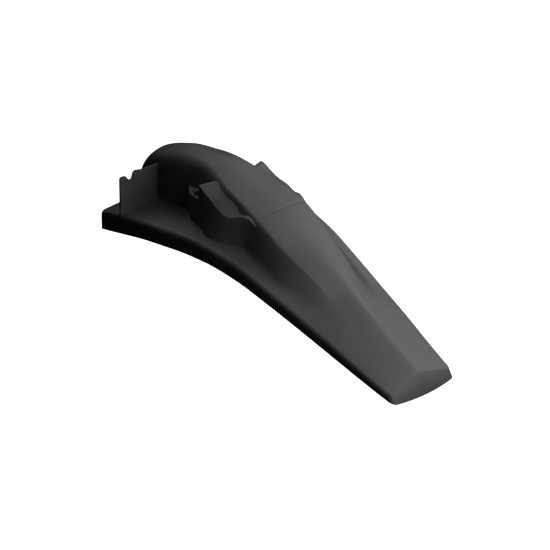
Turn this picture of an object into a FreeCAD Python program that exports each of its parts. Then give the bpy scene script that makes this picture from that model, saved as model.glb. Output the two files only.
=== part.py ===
import FreeCAD, Part
import math
import os

# Rear fender of an off-road motorcycle: one moulded shell of black polypropylene, open underneath.
# X runs to the tail, Y to the bike's right-hand side, Z up, with the front flange level.
# While the shell is drawn, X is 0 at the cross wall and Z is 0 beside the pocket floor.
# At the end it is moved so that the origin is the centre of the front bolt pair, under the flange.

V = FreeCAD.Vector

# The shell
wall_t = 3.0              # moulded thickness
roll_r = 8.0              # rolled edge between the ledge and the skirt
open_depth = 25.0         # how far the hollow is carried below the skirt
front_x = -46.0           # front edge of the flange
tail_x = 547.0            # middle of the tail end
tail_bow = 3.5            # how far the end's middle stands out from its corners
tail_corner = 11.0        # corner radius of the end, in plan
tail_foot = -190.0        # height at which the end has that plan
tail_lean = 0.55          # how far the end leans to the front, per millimetre of height
run_out = 570.0           # last section, beyond the end
deep = -140.0             # well below the blocks and their ledges
aside = 140.0             # well outside the skirts

# Driving stations along the fender, as pairs of x and size
half_width = [(-84, 127), (20, 127), (60, 126.5), (120, 124.5), (180, 120), (240, 113.5), (300, 105.5),
              (370, 95.6), (430, 88), (490, 80), (535, 74.2), (580, 67.8)]
edge_top = [(-84, -14), (-46, -9), (-14, -5), (10, -4), (60, -3.5), (120, -3.2), (180, -9.8), (240, -26.7),
            (300, -53.8), (370, -88.2), (430, -118.6), (490, -151), (535, -174), (580, -197)]
skirt_foot = [(-84, -44), (-40, -41.5), (0, -37.8), (60, -33), (120, -32.3), (180, -37.4), (240, -52.4),
              (300, -77.2), (370, -109.6), (430, -137.8), (490, -166), (535, -186), (580, -206.5)]
ledge_rise = [(-84, 0.07), (-10, 0.04), (120, 0.05), (240, 0.08), (300, 0.16), (340, 0.26), (370, 0.37),
              (400, 0.42), (430, 0.357), (460, 0.309), (500, 0.239), (548, 0.177), (580, 0.162)]
foot_fillet = [(0, 6), (213, 6), (300, 12), (580, 12)]
base_half = [(0, 42), (80, 51), (126, 57), (170, 65), (213, 71), (240, 75), (270, 80), (300, 81), (330, 74),
             (360, 65), (380, 58), (400, 50), (430, 44), (460, 39.5), (500, 36), (580, 33)]
top_half = [(0, 41), (80, 47.5), (126, 52), (150, 54.5), (190, 58), (213, 61), (240, 62.5), (270, 60), (300, 55),
            (330, 50), (360, 43), (380, 40), (400, 37), (430, 31), (460, 27), (500, 24), (548, 22.3), (580, 21)]
top_height = [(0, 45), (80, 48), (126, 54), (150, 50), (190, 38.5), (213, 30.5), (240, 16), (270, 0),
              (300, -17.5), (330, -37), (360, -57), (380, -71.5), (400, -83.8), (430, -101.1), (460, -119.7),
              (500, -144.8), (548, -173.3), (580, -190.7)]
ridge = [(0, 84), (42, 90.3), (83, 89.5), (111, 85.3), (140, 74.6), (170, 62), (210, 47.5), (248, 31), (300, -3),
         (335, -25.5), (373, -52.5), (450, -106), (499, -139.5), (548, -170), (580, -187.9)]
# The crown is nearly level out to its shoulder: half width of the shoulder and its drop below the ridge
shoulder_half = [(0, 14), (30, 16), (60, 19), (90, 25), (120, 30), (150, 40), (180, 46), (210, 50), (240, 52),
                 (270, 51), (300, 48), (330, 44), (360, 36), (380, 27), (400, 18.5), (430, 15.5), (460, 13.5),
                 (500, 12), (548, 11), (580, 10.5)]
shoulder_drop = [(0, 2.2), (30, 2.4), (60, 2.6), (90, 3.2), (120, 3.2), (150, 3.5), (180, 3.2), (210, 3.5),
                 (240, 5), (270, 7.5), (300, 8.5), (330, 9.5), (360, 9.5), (380, 8.3), (400, 5.05), (430, 3.6),
                 (460, 2.7), (500, 1.86), (548, 1.27), (580, 1.1)]
# Share of the shoulder's half width over which the crown stays level
level_share = [(0, 0.35), (200, 0.35), (240, 0.5), (300, 0.5), (340, 0.42), (400, 0.35), (580, 0.35)]
# Angle at which the crown leaves the wall, from the level
spring_angle = [(0, 88), (60, 80), (100, 70), (126, 64), (190, 62), (213, 66), (240, 70), (270, 60), (300, 51),
                (330, 47), (360, 40), (380, 30), (400, 22.8), (430, 19.6), (460, 17.1), (500, 13.4), (548, 10),
                (580, 9.2)]

# The domed nose ahead of the cross wall
nose_len = 70.0
nose_from = 15.0           # where the crown starts to turn down
nose_lip = 6.0

# The cross wall: lateral place and height of its top outline on the left-hand side
cross_x = -2.0
cross_t = 3.0
cross_top = [(38, 59), (57, 59), (76, 59.5), (91, 62.5), (95, 60.5), (99.5, 50), (102, 49.2),
             (107.5, 51.5), (113.5, 58.5), (121.5, 59.5), (125.8, 57.5)]
# The right-hand wall is lower and has a straight top
cross_top_right = [(38, 52), (125.8, 24)]

# The side block: plan of its flared wall low down and, carried on straight, at its front corner's height.
# The places up to block_corners are corners, and the wall runs smoothly through the others
block_corners = 3
block_low_z = -5.0
block_low = [(70, 36), (84, 46), (104, 63), (127, 80.2), (145, 90), (162, 95.7), (174, 94.3), (188, 89),
             (205, 78.5), (217, 71.5), (232, 65.5), (256, 58), (275, 55), (290, 53.5), (290, 52)]
block_high_z = 64.0
block_high = [(70, 36), (86, 45), (102, 62.5), (127, 74), (145, 73), (162, 69.5), (174, 69.9), (188, 69),
              (205, 65), (217, 61.5), (232, 57.5), (256, 54), (275, 53.2), (290, 52.7), (290, 52)]
# Its top edge from the side: x, height, and rise per millimetre inwards; smooth behind the front corner
block_crest = [(60, 42, 0.1), (92, 44, 0.1), (99, 48.5, 0.1), (103, 48, 0.1), (119, 45.5, 0.1), (122, 65, 0.1),
               (127, 64.5, 0.1), (145, 52, 0.2), (161, 43, 0.3), (175, 39.5, 0.34), (188, 35.5, 0.34),
               (200, 34.5, 0.2), (210, 37, 0.05), (220, 33, 0), (228, 26, 0), (240, 12, 0), (300, -45, 0)]
crest_smooth = 6
crest_at = 73.5           # lateral place of that outline
crest_skew = 0.42         # how far the outline moves to the tail, per millimetre inwards
# Narrow step along the front of the flared wall
step_low = [(70, 8), (78, 51), (100, 70), (142, 86), (142, 8)]
step_high = [(70, 8), (79, 49.5), (98, 69), (125, 71.5), (125, 8)]
step_top = [(60, 48), (150, 38.5)]
# Pocket behind the tooth at the front of the block
pocket_floor = 43.0
pocket_from = 104.0
pocket_end = 121.0

# The line across the top where the seat ends
crease_x = 239.0
crease_bow = 2.0
crease_wide = 2.2
crease_deep = 0.8
crease_half = 56.0

# Mounts for M6: two bolts through pads in the front flange, two screws up into bosses under the block
bolt_hole_d = 6.6
pad_d = 20.0
pad_foot = -9.5
pad_top = -3.0
front_bolt_x = -25.0
front_bolt_half = 85.0
rear_bolt_x = 196.0
rear_bolt_half = 62.0
rear_boss_d = 14.0
rear_boss_foot = 0.0
rear_hole_d = 5.4
rear_hole_depth = 20.0


def through(stations):
    """A smooth curve through the stations, with no overshoot between them."""
    xs = [s[0] for s in stations]
    ys = [s[1] for s in stations]
    n = len(xs)
    steps = [xs[i + 1] - xs[i] for i in range(n - 1)]
    slopes = [(ys[i + 1] - ys[i]) / steps[i] for i in range(n - 1)]
    tangents = [slopes[0]]
    for i in range(1, n - 1):
        if slopes[i - 1] * slopes[i] <= 0:
            tangents.append(0.0)
        else:
            w1 = 2 * steps[i] + steps[i - 1]
            w2 = steps[i] + 2 * steps[i - 1]
            tangents.append((w1 + w2) / (w1 / slopes[i - 1] + w2 / slopes[i]))
    tangents.append(slopes[-1])

    def value(x):
        if x <= xs[0]:
            return ys[0]
        if x >= xs[-1]:
            return ys[-1]
        i = max(k for k in range(n - 1) if xs[k] <= x)
        u = (x - xs[i]) / steps[i]
        return ((2 * u ** 3 - 3 * u ** 2 + 1) * ys[i] + (u ** 3 - 2 * u ** 2 + u) * steps[i] * tangents[i]
                + (3 * u ** 2 - 2 * u ** 3) * ys[i + 1] + (u ** 3 - u ** 2) * steps[i] * tangents[i + 1])
    return value


b_at = through(half_width)
edge_at = through(edge_top)
foot_at = through(skirt_foot)
rise_at = through(ledge_rise)
base_at = through(base_half)
top_at = through(top_half)
height_at = through(top_height)
ridge_at = through(ridge)
spring_at = through(spring_angle)
fillet_at = through(foot_fillet)
shoulder_at = through(shoulder_half)
drop_at = through(shoulder_drop)
level_at = through(level_share)


def sizes(x, inset):
    """Section sizes at x, moved inwards by inset."""
    length = nose_len - inset + nose_from
    dome = 1.0
    if x < nose_from:
        dome = math.sqrt(max(0.0, 1 - ((x - nose_from) / length) ** 2))
    b = b_at(x) - inset
    edge = edge_at(x) - inset
    base = (base_at(x) - inset) * dome ** 0.8
    low = edge + rise_at(x) * max(0.0, b - roll_r - base)
    top = (top_at(x) - inset) * dome ** 0.8
    high = low + (height_at(x) - inset * 0.3 - low) * dome
    crest = low + (ridge_at(x) - inset - low) * dome
    shoulder = (shoulder_at(x) - inset * shoulder_at(x) / top_at(x)) * dome ** 0.8
    drop = drop_at(x) * dome
    return b, edge, foot_at(x), base, low, top, high, crest, shoulder, drop


def bezier(points):
    curve = Part.BezierCurve()
    curve.setPoles(points)
    return curve.toShape()


def side_edges(x, inset, side, foot_drop):
    """Edges of half a section, from the skirt's foot up to the ridge."""
    b, edge, foot, base, low, top, high, crest, shoulder, drop = sizes(x, inset)
    r = roll_r - inset

    def p(y, z):
        return V(x, side * y, z)

    lean = math.atan(rise_at(x))
    half = (math.pi / 2 + lean) / 2
    roll_mid = (b - r + r * math.cos(half - lean), edge - r + r * math.sin(half - lean))
    roll_end = (b - r + r * math.sin(lean), edge - r + r * math.cos(lean))
    run = V(0, top - base, high - low)
    tall = run.Length
    run.normalize()
    f = min(fillet_at(x) + inset, 0.45 * tall, 0.5 * (b - r - base))
    wall_from = (base + run.y * f, low + run.z * f)
    ledge_drop = rise_at(x) * f
    spring = math.radians(spring_at(x))
    level = level_at(x) * shoulder
    slope = drop / (shoulder - level)
    turn = 0.4 * math.hypot(top - shoulder, crest - drop - high)
    corner_low = p(top - turn * math.cos(spring), high + turn * math.sin(spring))
    corner_high = p(shoulder + turn / math.hypot(1, slope), crest - drop - turn * slope / math.hypot(1, slope))
    edges = [
        Part.LineSegment(p(b, foot - foot_drop), p(b, edge - r)).toShape(),
        Part.Arc(p(b, edge - r), p(*roll_mid), p(*roll_end)).toShape(),
        Part.LineSegment(p(*roll_end), p(base + f, low - ledge_drop)).toShape(),
        bezier([p(base + f, low - ledge_drop), p(base, low), p(*wall_from)]),
        Part.LineSegment(p(*wall_from), p(top, high)).toShape(),
        bezier([p(top, high), corner_low, corner_high, p(shoulder, crest - drop)]),
        bezier([p(shoulder, crest - drop), p(level, crest), p(0, crest)]),
    ]
    return edges


def section(x, inset, foot_drop):
    left = side_edges(x, inset, -1, foot_drop)
    right = side_edges(x, inset, 1, foot_drop)
    right.reverse()
    b = b_at(x) - inset
    z = foot_at(x) - foot_drop
    floor = Part.LineSegment(V(x, b, z), V(x, -b, z)).toShape()
    return Part.Wire(left + right + [floor])


def stations_for(length):
    reach = length + nose_from
    nose = [nose_from - reach * math.sin(math.radians(a)) for a in (85, 77, 67, 55, 43, 30, 17, 6)]
    back = [20, 42, 64, 86, 110, 135, 160, 180, 194, 206, 219, 234, 255, 280, 307, 335, 360, 385, 410,
            440, 475, 510, 525, 540, 555, run_out]
    return nose + back


def main_body(inset, foot_drop):
    wires = [section(x, inset, foot_drop) for x in stations_for(nose_len - inset)]
    return Part.makeLoft(wires, True, False)


def prism(points, direction):
    wire = Part.makePolygon(points + [points[0]])
    return Part.Face(wire).extrude(direction)


def pulled_in(points, inset):
    """A plan outline pulled in by inset on its outer side; its inner side, in the spine, moves more."""
    moved = []
    for i, (x, y) in enumerate(points):
        if i == 0 or i == len(points) - 1:
            moved.append((x, y - 2 * inset))
            continue
        (x0, y0), (x1, y1) = points[i - 1], points[i + 1]
        length = math.hypot(x1 - x0, y1 - y0)
        moved.append((x + (y1 - y0) / length * inset, y - (x1 - x0) / length * inset))
    return moved


def outline(points, corners, closing):
    """A closed wire: straight to the point numbered corners, then smooth, with straight closing edges."""
    edges = [Part.LineSegment(a, c).toShape() for a, c in zip(points[:corners], points[1:corners + 1])]
    if corners < len(points) - 1:
        curve = Part.BSplineCurve()
        curve.interpolate(points[corners:])
        edges.append(curve.toShape())
    ends = [points[-1]] + closing + [points[0]]
    edges += [Part.LineSegment(a, c).toShape() for a, c in zip(ends, ends[1:])]
    return Part.Wire(edges)


def tapered(low, high, corners, inset):
    """A body on a low and a high plan, carried on straight below the one and above the other."""
    low, high = pulled_in(low, inset), pulled_in(high, inset)
    wires = []
    for z in (block_low_z - 50 - 5 * inset, block_high_z + 20):
        u = (z - block_low_z) / (block_high_z - block_low_z)
        points = [V(a[0] + (c[0] - a[0]) * u, a[1] + (c[1] - a[1]) * u, z) for a, c in zip(low, high)]
        wires.append(outline(points[:-1], corners, points[-1:]))
    return Part.makeLoft(wires, True, True)


def below_crest(crest, corners, drop):
    """Everything under the block's top, which is skewed and tilted inwards from the crest's outline."""
    wires = []
    for y in (0.0, aside):
        inwards = crest_at - y
        points = [V(x + crest_skew * inwards, y, z + tilt * inwards - drop) for x, z, tilt in crest]
        feet = [V(points[-1].x, y, deep), V(points[0].x, y, deep)]
        wires.append(outline(points, corners, feet))
    return Part.makeLoft(wires, True, True)


def step_solid(inset):
    """The narrow step at the front of the flared wall."""
    (x0, z0), (x1, z1) = step_top
    side = [V(x0, 0, z0 - inset), V(x1, 0, z1 - inset), V(x1, 0, deep), V(x0, 0, deep)]
    return tapered(step_low, step_high, len(step_low) - 2, inset).common(prism(side, V(0, aside, 0)))


def block_solid():
    body = tapered(block_low, block_high, block_corners, 0.0)
    body = body.common(below_crest(block_crest, crest_smooth, 0.0))
    gap = [(pocket_from, aside), (pocket_end, aside), (pocket_end, pocket_floor), (pocket_from, pocket_floor)]
    gap = [V(x + crest_skew * crest_at, 0, z) for x, z in gap]
    return body.cut(prism(gap, V(-crest_skew * aside, aside, 0))).fuse(step_solid(0.0))


def block_hollow():
    """The block's inside, which stops under the pocket's floor and behind its end."""
    behind = pocket_end + wall_t
    corner = block_crest[crest_smooth]
    crest = [(60, pocket_floor, 0.0), (behind, pocket_floor, 0.0), (behind + 0.2, corner[1], corner[2])]
    crest += block_crest[crest_smooth:]
    body = tapered(block_low, block_high, block_corners, wall_t).common(below_crest(crest, 3, wall_t))
    return body.fuse(step_solid(wall_t))


def mirrored(shape):
    return shape.mirror(V(0, 0, 0), V(0, 1, 0))


def cross_wall(outline, side):
    ends = [(outline[-1][0], -12), (outline[0][0], -12)]
    points = [V(cross_x - cross_t, side * y, z) for y, z in outline + ends]
    return prism(points, V(cross_t, 0, 0))


def plan_cutter(edges, z0, z1, lean, foot):
    """An upright body on a plan, or one that leans to the front and has that plan at the height foot."""
    face = Part.Face(Part.Wire(Part.__sortEdges__(edges)))
    face.translate(V(lean * (foot - z0), 0, z0))
    return face.extrude(V(lean * (z0 - z1), 0, z1 - z0))


def flat(points):
    corners = [V(x, y, 0) for x, y in points]
    return [Part.LineSegment(a, c).toShape() for a, c in zip(corners, corners[1:])]


def arc(*points):
    return Part.Arc(*[V(x, y, 0) for x, y in points]).toShape()


def tail_cutter(inset):
    """What lies beyond the bowed tail end and its rounded corners, moved inwards by inset."""
    far, clear = run_out + 40, 0.3
    end_x, r = tail_x - tail_bow - inset, tail_corner - inset
    slant = r * math.sqrt(0.5)
    centre_y = b_at(end_x - r) - tail_corner
    edges = [arc((end_x, centre_y), (tail_x - inset, 0), (end_x, -centre_y))]
    for k in (-1, 1):
        start, end = (end_x - r, k * (centre_y + r + clear)), (end_x, k * centre_y)
        edges.append(arc(start, (end_x - r + slant, k * (centre_y + slant)), end))
        edges += flat([start, (end_x - 70, k * aside), (far, k * aside), (far, 0)])
    return plan_cutter(edges, 2 * deep, 0, tail_lean, tail_foot)


def nose_cutter():
    """What lies ahead of the front edge and of the lip round the nose."""
    far = -nose_len - 60
    lip = sizes(front_x, 0.0)[3] + nose_lip
    edges = [arc((front_x, -lip), (-nose_len - nose_lip, 0), (front_x, lip))]
    for k in (-1, 1):
        edges += flat([(front_x, k * lip), (front_x, k * aside), (far, k * aside), (far, 0)])
    return plan_cutter(edges, deep, -deep, 0.0, 0.0)


def crease_cut(body):
    """A shallow line across the crown, bowed to the tail in plan."""
    arcs = []
    for shift in (0.0, crease_wide):
        mid = V(crease_x + shift, 0, -60)
        left = V(crease_x + shift - crease_bow, -crease_half, -60)
        right = V(crease_x + shift - crease_bow, crease_half, -60)
        arcs.append(Part.Arc(left, mid, right).toShape())
    ends = []
    for k in (0, 1):
        ends.append(Part.LineSegment(arcs[0].Vertexes[k].Point, arcs[1].Vertexes[k].Point).toShape())
    band = Part.Face(Part.Wire(Part.__sortEdges__(arcs + ends))).extrude(V(0, 0, 200))
    return band.common(body).cut(main_body(crease_deep, open_depth))


def upright(d, x, y, z0, z1):
    return Part.makeCylinder(d / 2, z1 - z0, V(x, y, z0), V(0, 0, 1))


outer = main_body(0.0, 0.0).cut(nose_cutter())
outer = outer.cut(tail_cutter(0.0))
outer = outer.cut(crease_cut(outer))
inner = main_body(wall_t, open_depth).cut(tail_cutter(wall_t))
block_out = block_solid()
block_in = block_hollow()
walls = [cross_wall(cross_top, -1), cross_wall(cross_top_right, 1)]
solid = outer.fuse([block_out, mirrored(block_out)] + walls)
hollow = inner.fuse([block_in, mirrored(block_in)])
shell = solid.cut(hollow)

fixings = []
holes = []
for k in (-1, 1):
    front_y, rear_y = k * front_bolt_half, k * rear_bolt_half
    fixings.append(upright(pad_d, front_bolt_x, front_y, pad_foot, pad_top))
    fixings.append(upright(rear_boss_d, rear_bolt_x, rear_y, rear_boss_foot, 80).common(solid))
    holes.append(upright(bolt_hole_d, front_bolt_x, front_y, pad_foot - 5, pad_top + 5))
    hole_end = rear_boss_foot + rear_hole_depth
    holes.append(upright(rear_hole_d, rear_bolt_x, rear_y, rear_boss_foot - 5, hole_end))
shell = shell.fuse(fixings).cut(Part.makeCompound(holes))

fender = shell.Solids[0]
fender.translate(V(-front_bolt_x, 0, -pad_foot))
os.makedirs("parts", exist_ok=True)
fender.exportStep("parts/rear_fender.step")
print("valid", fender.isValid(), "volume", fender.Volume, "solids", len(shell.Solids))
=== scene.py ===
import math

import bpy
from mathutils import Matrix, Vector


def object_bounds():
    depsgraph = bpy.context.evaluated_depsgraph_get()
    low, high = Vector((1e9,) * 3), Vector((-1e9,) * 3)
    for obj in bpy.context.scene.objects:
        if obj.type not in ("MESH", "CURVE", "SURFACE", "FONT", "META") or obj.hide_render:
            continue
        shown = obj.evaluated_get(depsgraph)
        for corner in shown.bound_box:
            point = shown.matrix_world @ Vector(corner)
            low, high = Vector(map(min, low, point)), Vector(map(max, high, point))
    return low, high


bl_info = {
    "name": "Motorcycle rear fender",
    "version": (1, 0, 0),
    "blender": (4, 5, 0),
    "location": "3D View > Sidebar > Fender",
    "description": "Finishes a moulded off-road rear fender and sets it in a plain studio",
    "category": "Object",
}

MM = 0.001
NODE = "rear_fender"
WHITE = (1.0, 1.0, 1.0, 1.0)

JOIN_DISTANCE = 0.01 * MM       # corners of neighbouring faces closer than this are one
EDGE_SEGMENTS = 3               # steps in the rounding of an edge
POLYPROPYLENE_IOR = 1.49
DRIFT_WIDTH = 90 * MM           # length over which the resin's bloom comes and goes
GLOSS_SPREAD = 0.05             # how far the roughness strays from its middle value
GRAIN_STRENGTH = 0.35
FLOOR_WIDTH = 60.0              # metres, so that no edge of the floor shows
PAPER_ROUGHNESS = 0.9
SENSOR_WIDTH = 36.0             # millimetres
VIEW_DEPTH = 200.0              # metres, past the floor's far edge

# Softboxes: name, direction from the part's middle and power in watts
SOFTBOXES = (
    ("right", (0.0, 0.82, 0.57), 8.6),
    ("right_low", (0.0, 0.98, 0.2), 1.2),
    ("tail_high", (0.5, 0.0, 0.87), 3.0),
    ("tail", (0.82, 0.0, 0.57), 16.0),
    ("tail_right", (0.6, 0.6, 0.5), 17.0),
    ("tail_left", (0.54, -0.54, 0.64), 1.5),
    ("front_right", (-0.45, 0.45, 0.77), 4.4),
    ("front", (-0.77, 0.0, 0.64), 2.2),
)

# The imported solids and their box, before anything is added
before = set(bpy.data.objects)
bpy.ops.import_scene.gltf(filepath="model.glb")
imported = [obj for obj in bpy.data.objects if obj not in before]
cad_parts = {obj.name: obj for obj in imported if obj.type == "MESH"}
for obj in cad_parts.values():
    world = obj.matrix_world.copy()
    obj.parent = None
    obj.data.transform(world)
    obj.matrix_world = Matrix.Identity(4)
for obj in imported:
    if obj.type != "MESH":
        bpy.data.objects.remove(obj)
CAD_LOW, CAD_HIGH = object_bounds()


class FenderFinish(bpy.types.PropertyGroup):
    """Colours and surface sizes of the moulded plastic."""

    resin: bpy.props.StringProperty(
        name="Resin", description="sRGB hex of the coloured polypropylene", default="2C2C2D")
    bloom: bpy.props.StringProperty(
        name="Bloom", description="sRGB hex of the dull bloom on open surfaces", default="343435")
    roughness: bpy.props.FloatProperty(
        name="Roughness", description="Roughness of the satin mould face", default=0.5,
        min=0.0, max=1.0, subtype="FACTOR")
    grain: bpy.props.FloatProperty(
        name="Grain", description="Width of one pebble of the mould's grain", default=1.6 * MM,
        unit="LENGTH", precision=5)
    grain_height: bpy.props.FloatProperty(
        name="Grain height", description="Height of the mould's grain", default=0.02 * MM,
        unit="LENGTH", precision=6)
    edge: bpy.props.FloatProperty(
        name="Edge rounding", description="Width of the rounding on moulded edges", default=0.9 * MM,
        unit="LENGTH", precision=5)
    edge_angle: bpy.props.FloatProperty(
        name="Edge angle", description="Folds sharper than this are rounded", default=math.radians(24),
        subtype="ANGLE")


class FenderStudio(bpy.types.PropertyGroup):
    """Floor, lights and camera."""

    floor: bpy.props.StringProperty(
        name="Floor", description="sRGB hex of the pale floor", default="F6F6F6")
    floor_gap: bpy.props.FloatProperty(
        name="Floor gap", description="Height of the held part over the floor", default=60 * MM,
        unit="LENGTH")
    azimuth: bpy.props.FloatProperty(
        name="Azimuth", description="Camera's turn about the part, from a look along +Y",
        default=math.radians(43), subtype="ANGLE")
    elevation: bpy.props.FloatProperty(
        name="Elevation", description="Camera's height over the level", default=math.radians(23.6),
        subtype="ANGLE")
    distance: bpy.props.FloatProperty(
        name="Distance", description="From the camera to the aim point", default=6.0, unit="LENGTH")
    lens: bpy.props.FloatProperty(
        name="Lens", description="Focal length on a 36 mm sensor", default=243.5, unit="CAMERA")
    aim: bpy.props.FloatVectorProperty(
        name="Aim", description="Point in the middle of the picture", default=(0.247, 0.0, -0.0755),
        subtype="TRANSLATION", unit="LENGTH")
    softbox_size: bpy.props.FloatProperty(
        name="Softbox size", description="Width of each round softbox", default=1.3, unit="LENGTH")
    softbox_distance: bpy.props.FloatProperty(
        name="Softbox distance", description="From each softbox to the part's middle", default=1.8,
        unit="LENGTH")
    brightness: bpy.props.FloatProperty(
        name="Brightness", description="Factor on the power of every softbox", default=1.0, min=0.0)


def linear(hex_colour):
    """Linear RGBA of an sRGB hex value."""
    channels = []
    for i in (0, 2, 4):
        c = int(hex_colour[i:i + 2], 16) / 255
        channels.append(c / 12.92 if c <= 0.04045 else ((c + 0.055) / 1.055) ** 2.4)
    return (*channels, 1.0)


def add_node(tree, kind, settings=None, links=None):
    """Adds a node, sets its properties and sockets, and links its inputs from other nodes' outputs."""
    node = tree.nodes.new(kind)
    for name, value in (settings or {}).items():
        if name in node.inputs:
            node.inputs[name].default_value = value
        else:
            setattr(node, name, value)
    for name, source in (links or {}).items():
        tree.links.new(source, node.inputs[name])
    return node


def moulded_polypropylene(finish):
    """Black polypropylene, injection moulded in a satin mould."""
    # To the eye: dark grey under a broad soft gloss, with a fine pebbled grain
    material = bpy.data.materials.new("moulded_polypropylene")
    material.use_nodes = True
    tree = material.node_tree
    shader = tree.nodes["Principled BSDF"]
    place = add_node(tree, "ShaderNodeTexCoord").outputs["Object"]

    # Slow drift of the resin's bloom, which also makes the gloss a little uneven
    drift = add_node(tree, "ShaderNodeTexNoise", {"Scale": 1 / DRIFT_WIDTH, "Detail": 3.0}, {"Vector": place})
    colour = add_node(tree, "ShaderNodeValToRGB", links={"Fac": drift.outputs["Fac"]})
    stops = colour.color_ramp.elements
    stops[0].position = 0.35
    stops[0].color = linear(finish.resin)
    stops[1].position = 0.65
    stops[1].color = linear(finish.bloom)
    tree.links.new(colour.outputs["Color"], shader.inputs["Base Color"])

    gloss = add_node(tree, "ShaderNodeMapRange", {
        "From Min": 0.3, "From Max": 0.7,
        "To Min": finish.roughness - GLOSS_SPREAD, "To Max": finish.roughness + GLOSS_SPREAD},
        {"Value": drift.outputs["Fac"]})
    tree.links.new(gloss.outputs["Result"], shader.inputs["Roughness"])

    # The real grain is about 0.3 mm wide, too fine to show, so it is drawn wider
    pebble = add_node(tree, "ShaderNodeTexVoronoi", {"feature": "SMOOTH_F1", "Scale": 1 / finish.grain},
                      {"Vector": place})
    bump = add_node(tree, "ShaderNodeBump", {"Strength": GRAIN_STRENGTH, "Distance": finish.grain_height},
                    {"Height": pebble.outputs["Distance"]})
    tree.links.new(bump.outputs["Normal"], shader.inputs["Normal"])
    shader.inputs["IOR"].default_value = POLYPROPYLENE_IOR
    shader.inputs["Metallic"].default_value = 0.0
    return material


class FENDER_OT_shell(bpy.types.Operator):
    """Gives the moulded shell its plastic and its rounded edges"""

    bl_idname = "fender.shell"
    bl_label = "Finish shell"

    def execute(self, context):
        finish = context.scene.fender_finish
        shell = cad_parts[NODE]
        shell.data.materials.clear()
        shell.data.materials.append(moulded_polypropylene(finish))
        weld = shell.modifiers.new("Joined faces", "WELD")
        weld.merge_threshold = JOIN_DISTANCE
        rounding = shell.modifiers.new("Rounded edges", "BEVEL")
        rounding.width = finish.edge
        rounding.segments = EDGE_SEGMENTS
        rounding.limit_method = "ANGLE"
        rounding.angle_limit = finish.edge_angle
        return {"FINISHED"}


class FENDER_OT_studio(bpy.types.Operator):
    """Sets the floor, the lights and the camera"""

    bl_idname = "fender.studio"
    bl_label = "Set studio"

    def execute(self, context):
        scene = context.scene
        studio = scene.fender_studio
        scene.view_settings.view_transform = "Standard"

        # The floor glows, so no shadow shows on it, and it casts no light on the part
        bpy.ops.object.select_all(action="DESELECT")
        bpy.ops.mesh.primitive_plane_add(size=FLOOR_WIDTH, location=(0, 0, CAD_LOW.z - studio.floor_gap))
        floor = context.object
        floor.name = "studio_floor"
        paper = bpy.data.materials.new("white_paper")
        paper.use_nodes = True
        shader = paper.node_tree.nodes["Principled BSDF"]
        shader.inputs["Base Color"].default_value = linear(studio.floor)
        shader.inputs["Roughness"].default_value = PAPER_ROUGHNESS
        shader.inputs["Emission Color"].default_value = WHITE
        shader.inputs["Emission Strength"].default_value = 1.0
        floor.data.materials.append(paper)
        floor.visible_diffuse = False
        floor.visible_glossy = False

        middle = (CAD_LOW + CAD_HIGH) / 2
        for name, direction, power in SOFTBOXES:
            towards = Vector(direction).normalized()
            bpy.ops.object.light_add(type="AREA", location=middle + towards * studio.softbox_distance)
            lamp = context.object
            lamp.name = name + "_softbox"
            lamp.data.shape = "DISK"
            lamp.data.size = studio.softbox_size
            lamp.data.energy = power * studio.brightness
            lamp.rotation_euler = (-towards).to_track_quat("-Z", "Y").to_euler()

        # A white surround that is seen past the floor and casts no light on the part
        world = bpy.data.worlds.new("studio_world")
        world.use_nodes = True
        surround = world.node_tree.nodes["Background"]
        surround.inputs["Color"].default_value = WHITE
        surround.inputs["Strength"].default_value = 1.0
        world.cycles_visibility.diffuse = False
        world.cycles_visibility.glossy = False
        scene.world = world

        aim = Vector(studio.aim)
        level = math.cos(studio.elevation)
        back = Vector((math.sin(studio.azimuth) * level, -math.cos(studio.azimuth) * level,
                       math.sin(studio.elevation)))
        bpy.ops.object.camera_add(location=aim + back * studio.distance)
        camera = context.object
        camera.rotation_euler = (-back).to_track_quat("-Z", "Y").to_euler()
        camera.data.lens = studio.lens
        camera.data.sensor_width = SENSOR_WIDTH
        camera.data.clip_end = VIEW_DEPTH
        scene.camera = camera
        return {"FINISHED"}


class FENDER_PT_sidebar(bpy.types.Panel):
    """Lists the fender's operators and sizes"""

    bl_idname = "FENDER_PT_sidebar"
    bl_label = "Rear fender"
    bl_space_type = "VIEW_3D"
    bl_region_type = "UI"
    bl_category = "Fender"

    def draw(self, context):
        for operator in (FENDER_OT_shell, FENDER_OT_studio):
            self.layout.operator(operator.bl_idname)
        for group in (context.scene.fender_finish, context.scene.fender_studio):
            column = self.layout.column(align=True)
            for name in group.__annotations__:
                column.prop(group, name)


CLASSES = (FenderFinish, FenderStudio, FENDER_OT_shell, FENDER_OT_studio, FENDER_PT_sidebar)


def register():
    for cls in CLASSES:
        bpy.utils.register_class(cls)
    bpy.types.Scene.fender_finish = bpy.props.PointerProperty(type=FenderFinish)
    bpy.types.Scene.fender_studio = bpy.props.PointerProperty(type=FenderStudio)


def unregister():
    del bpy.types.Scene.fender_studio
    del bpy.types.Scene.fender_finish
    for cls in reversed(CLASSES):
        bpy.utils.unregister_class(cls)


def main():
    register()
    bpy.ops.fender.shell()
    bpy.ops.fender.studio()


if __name__ == "__main__":
    main()
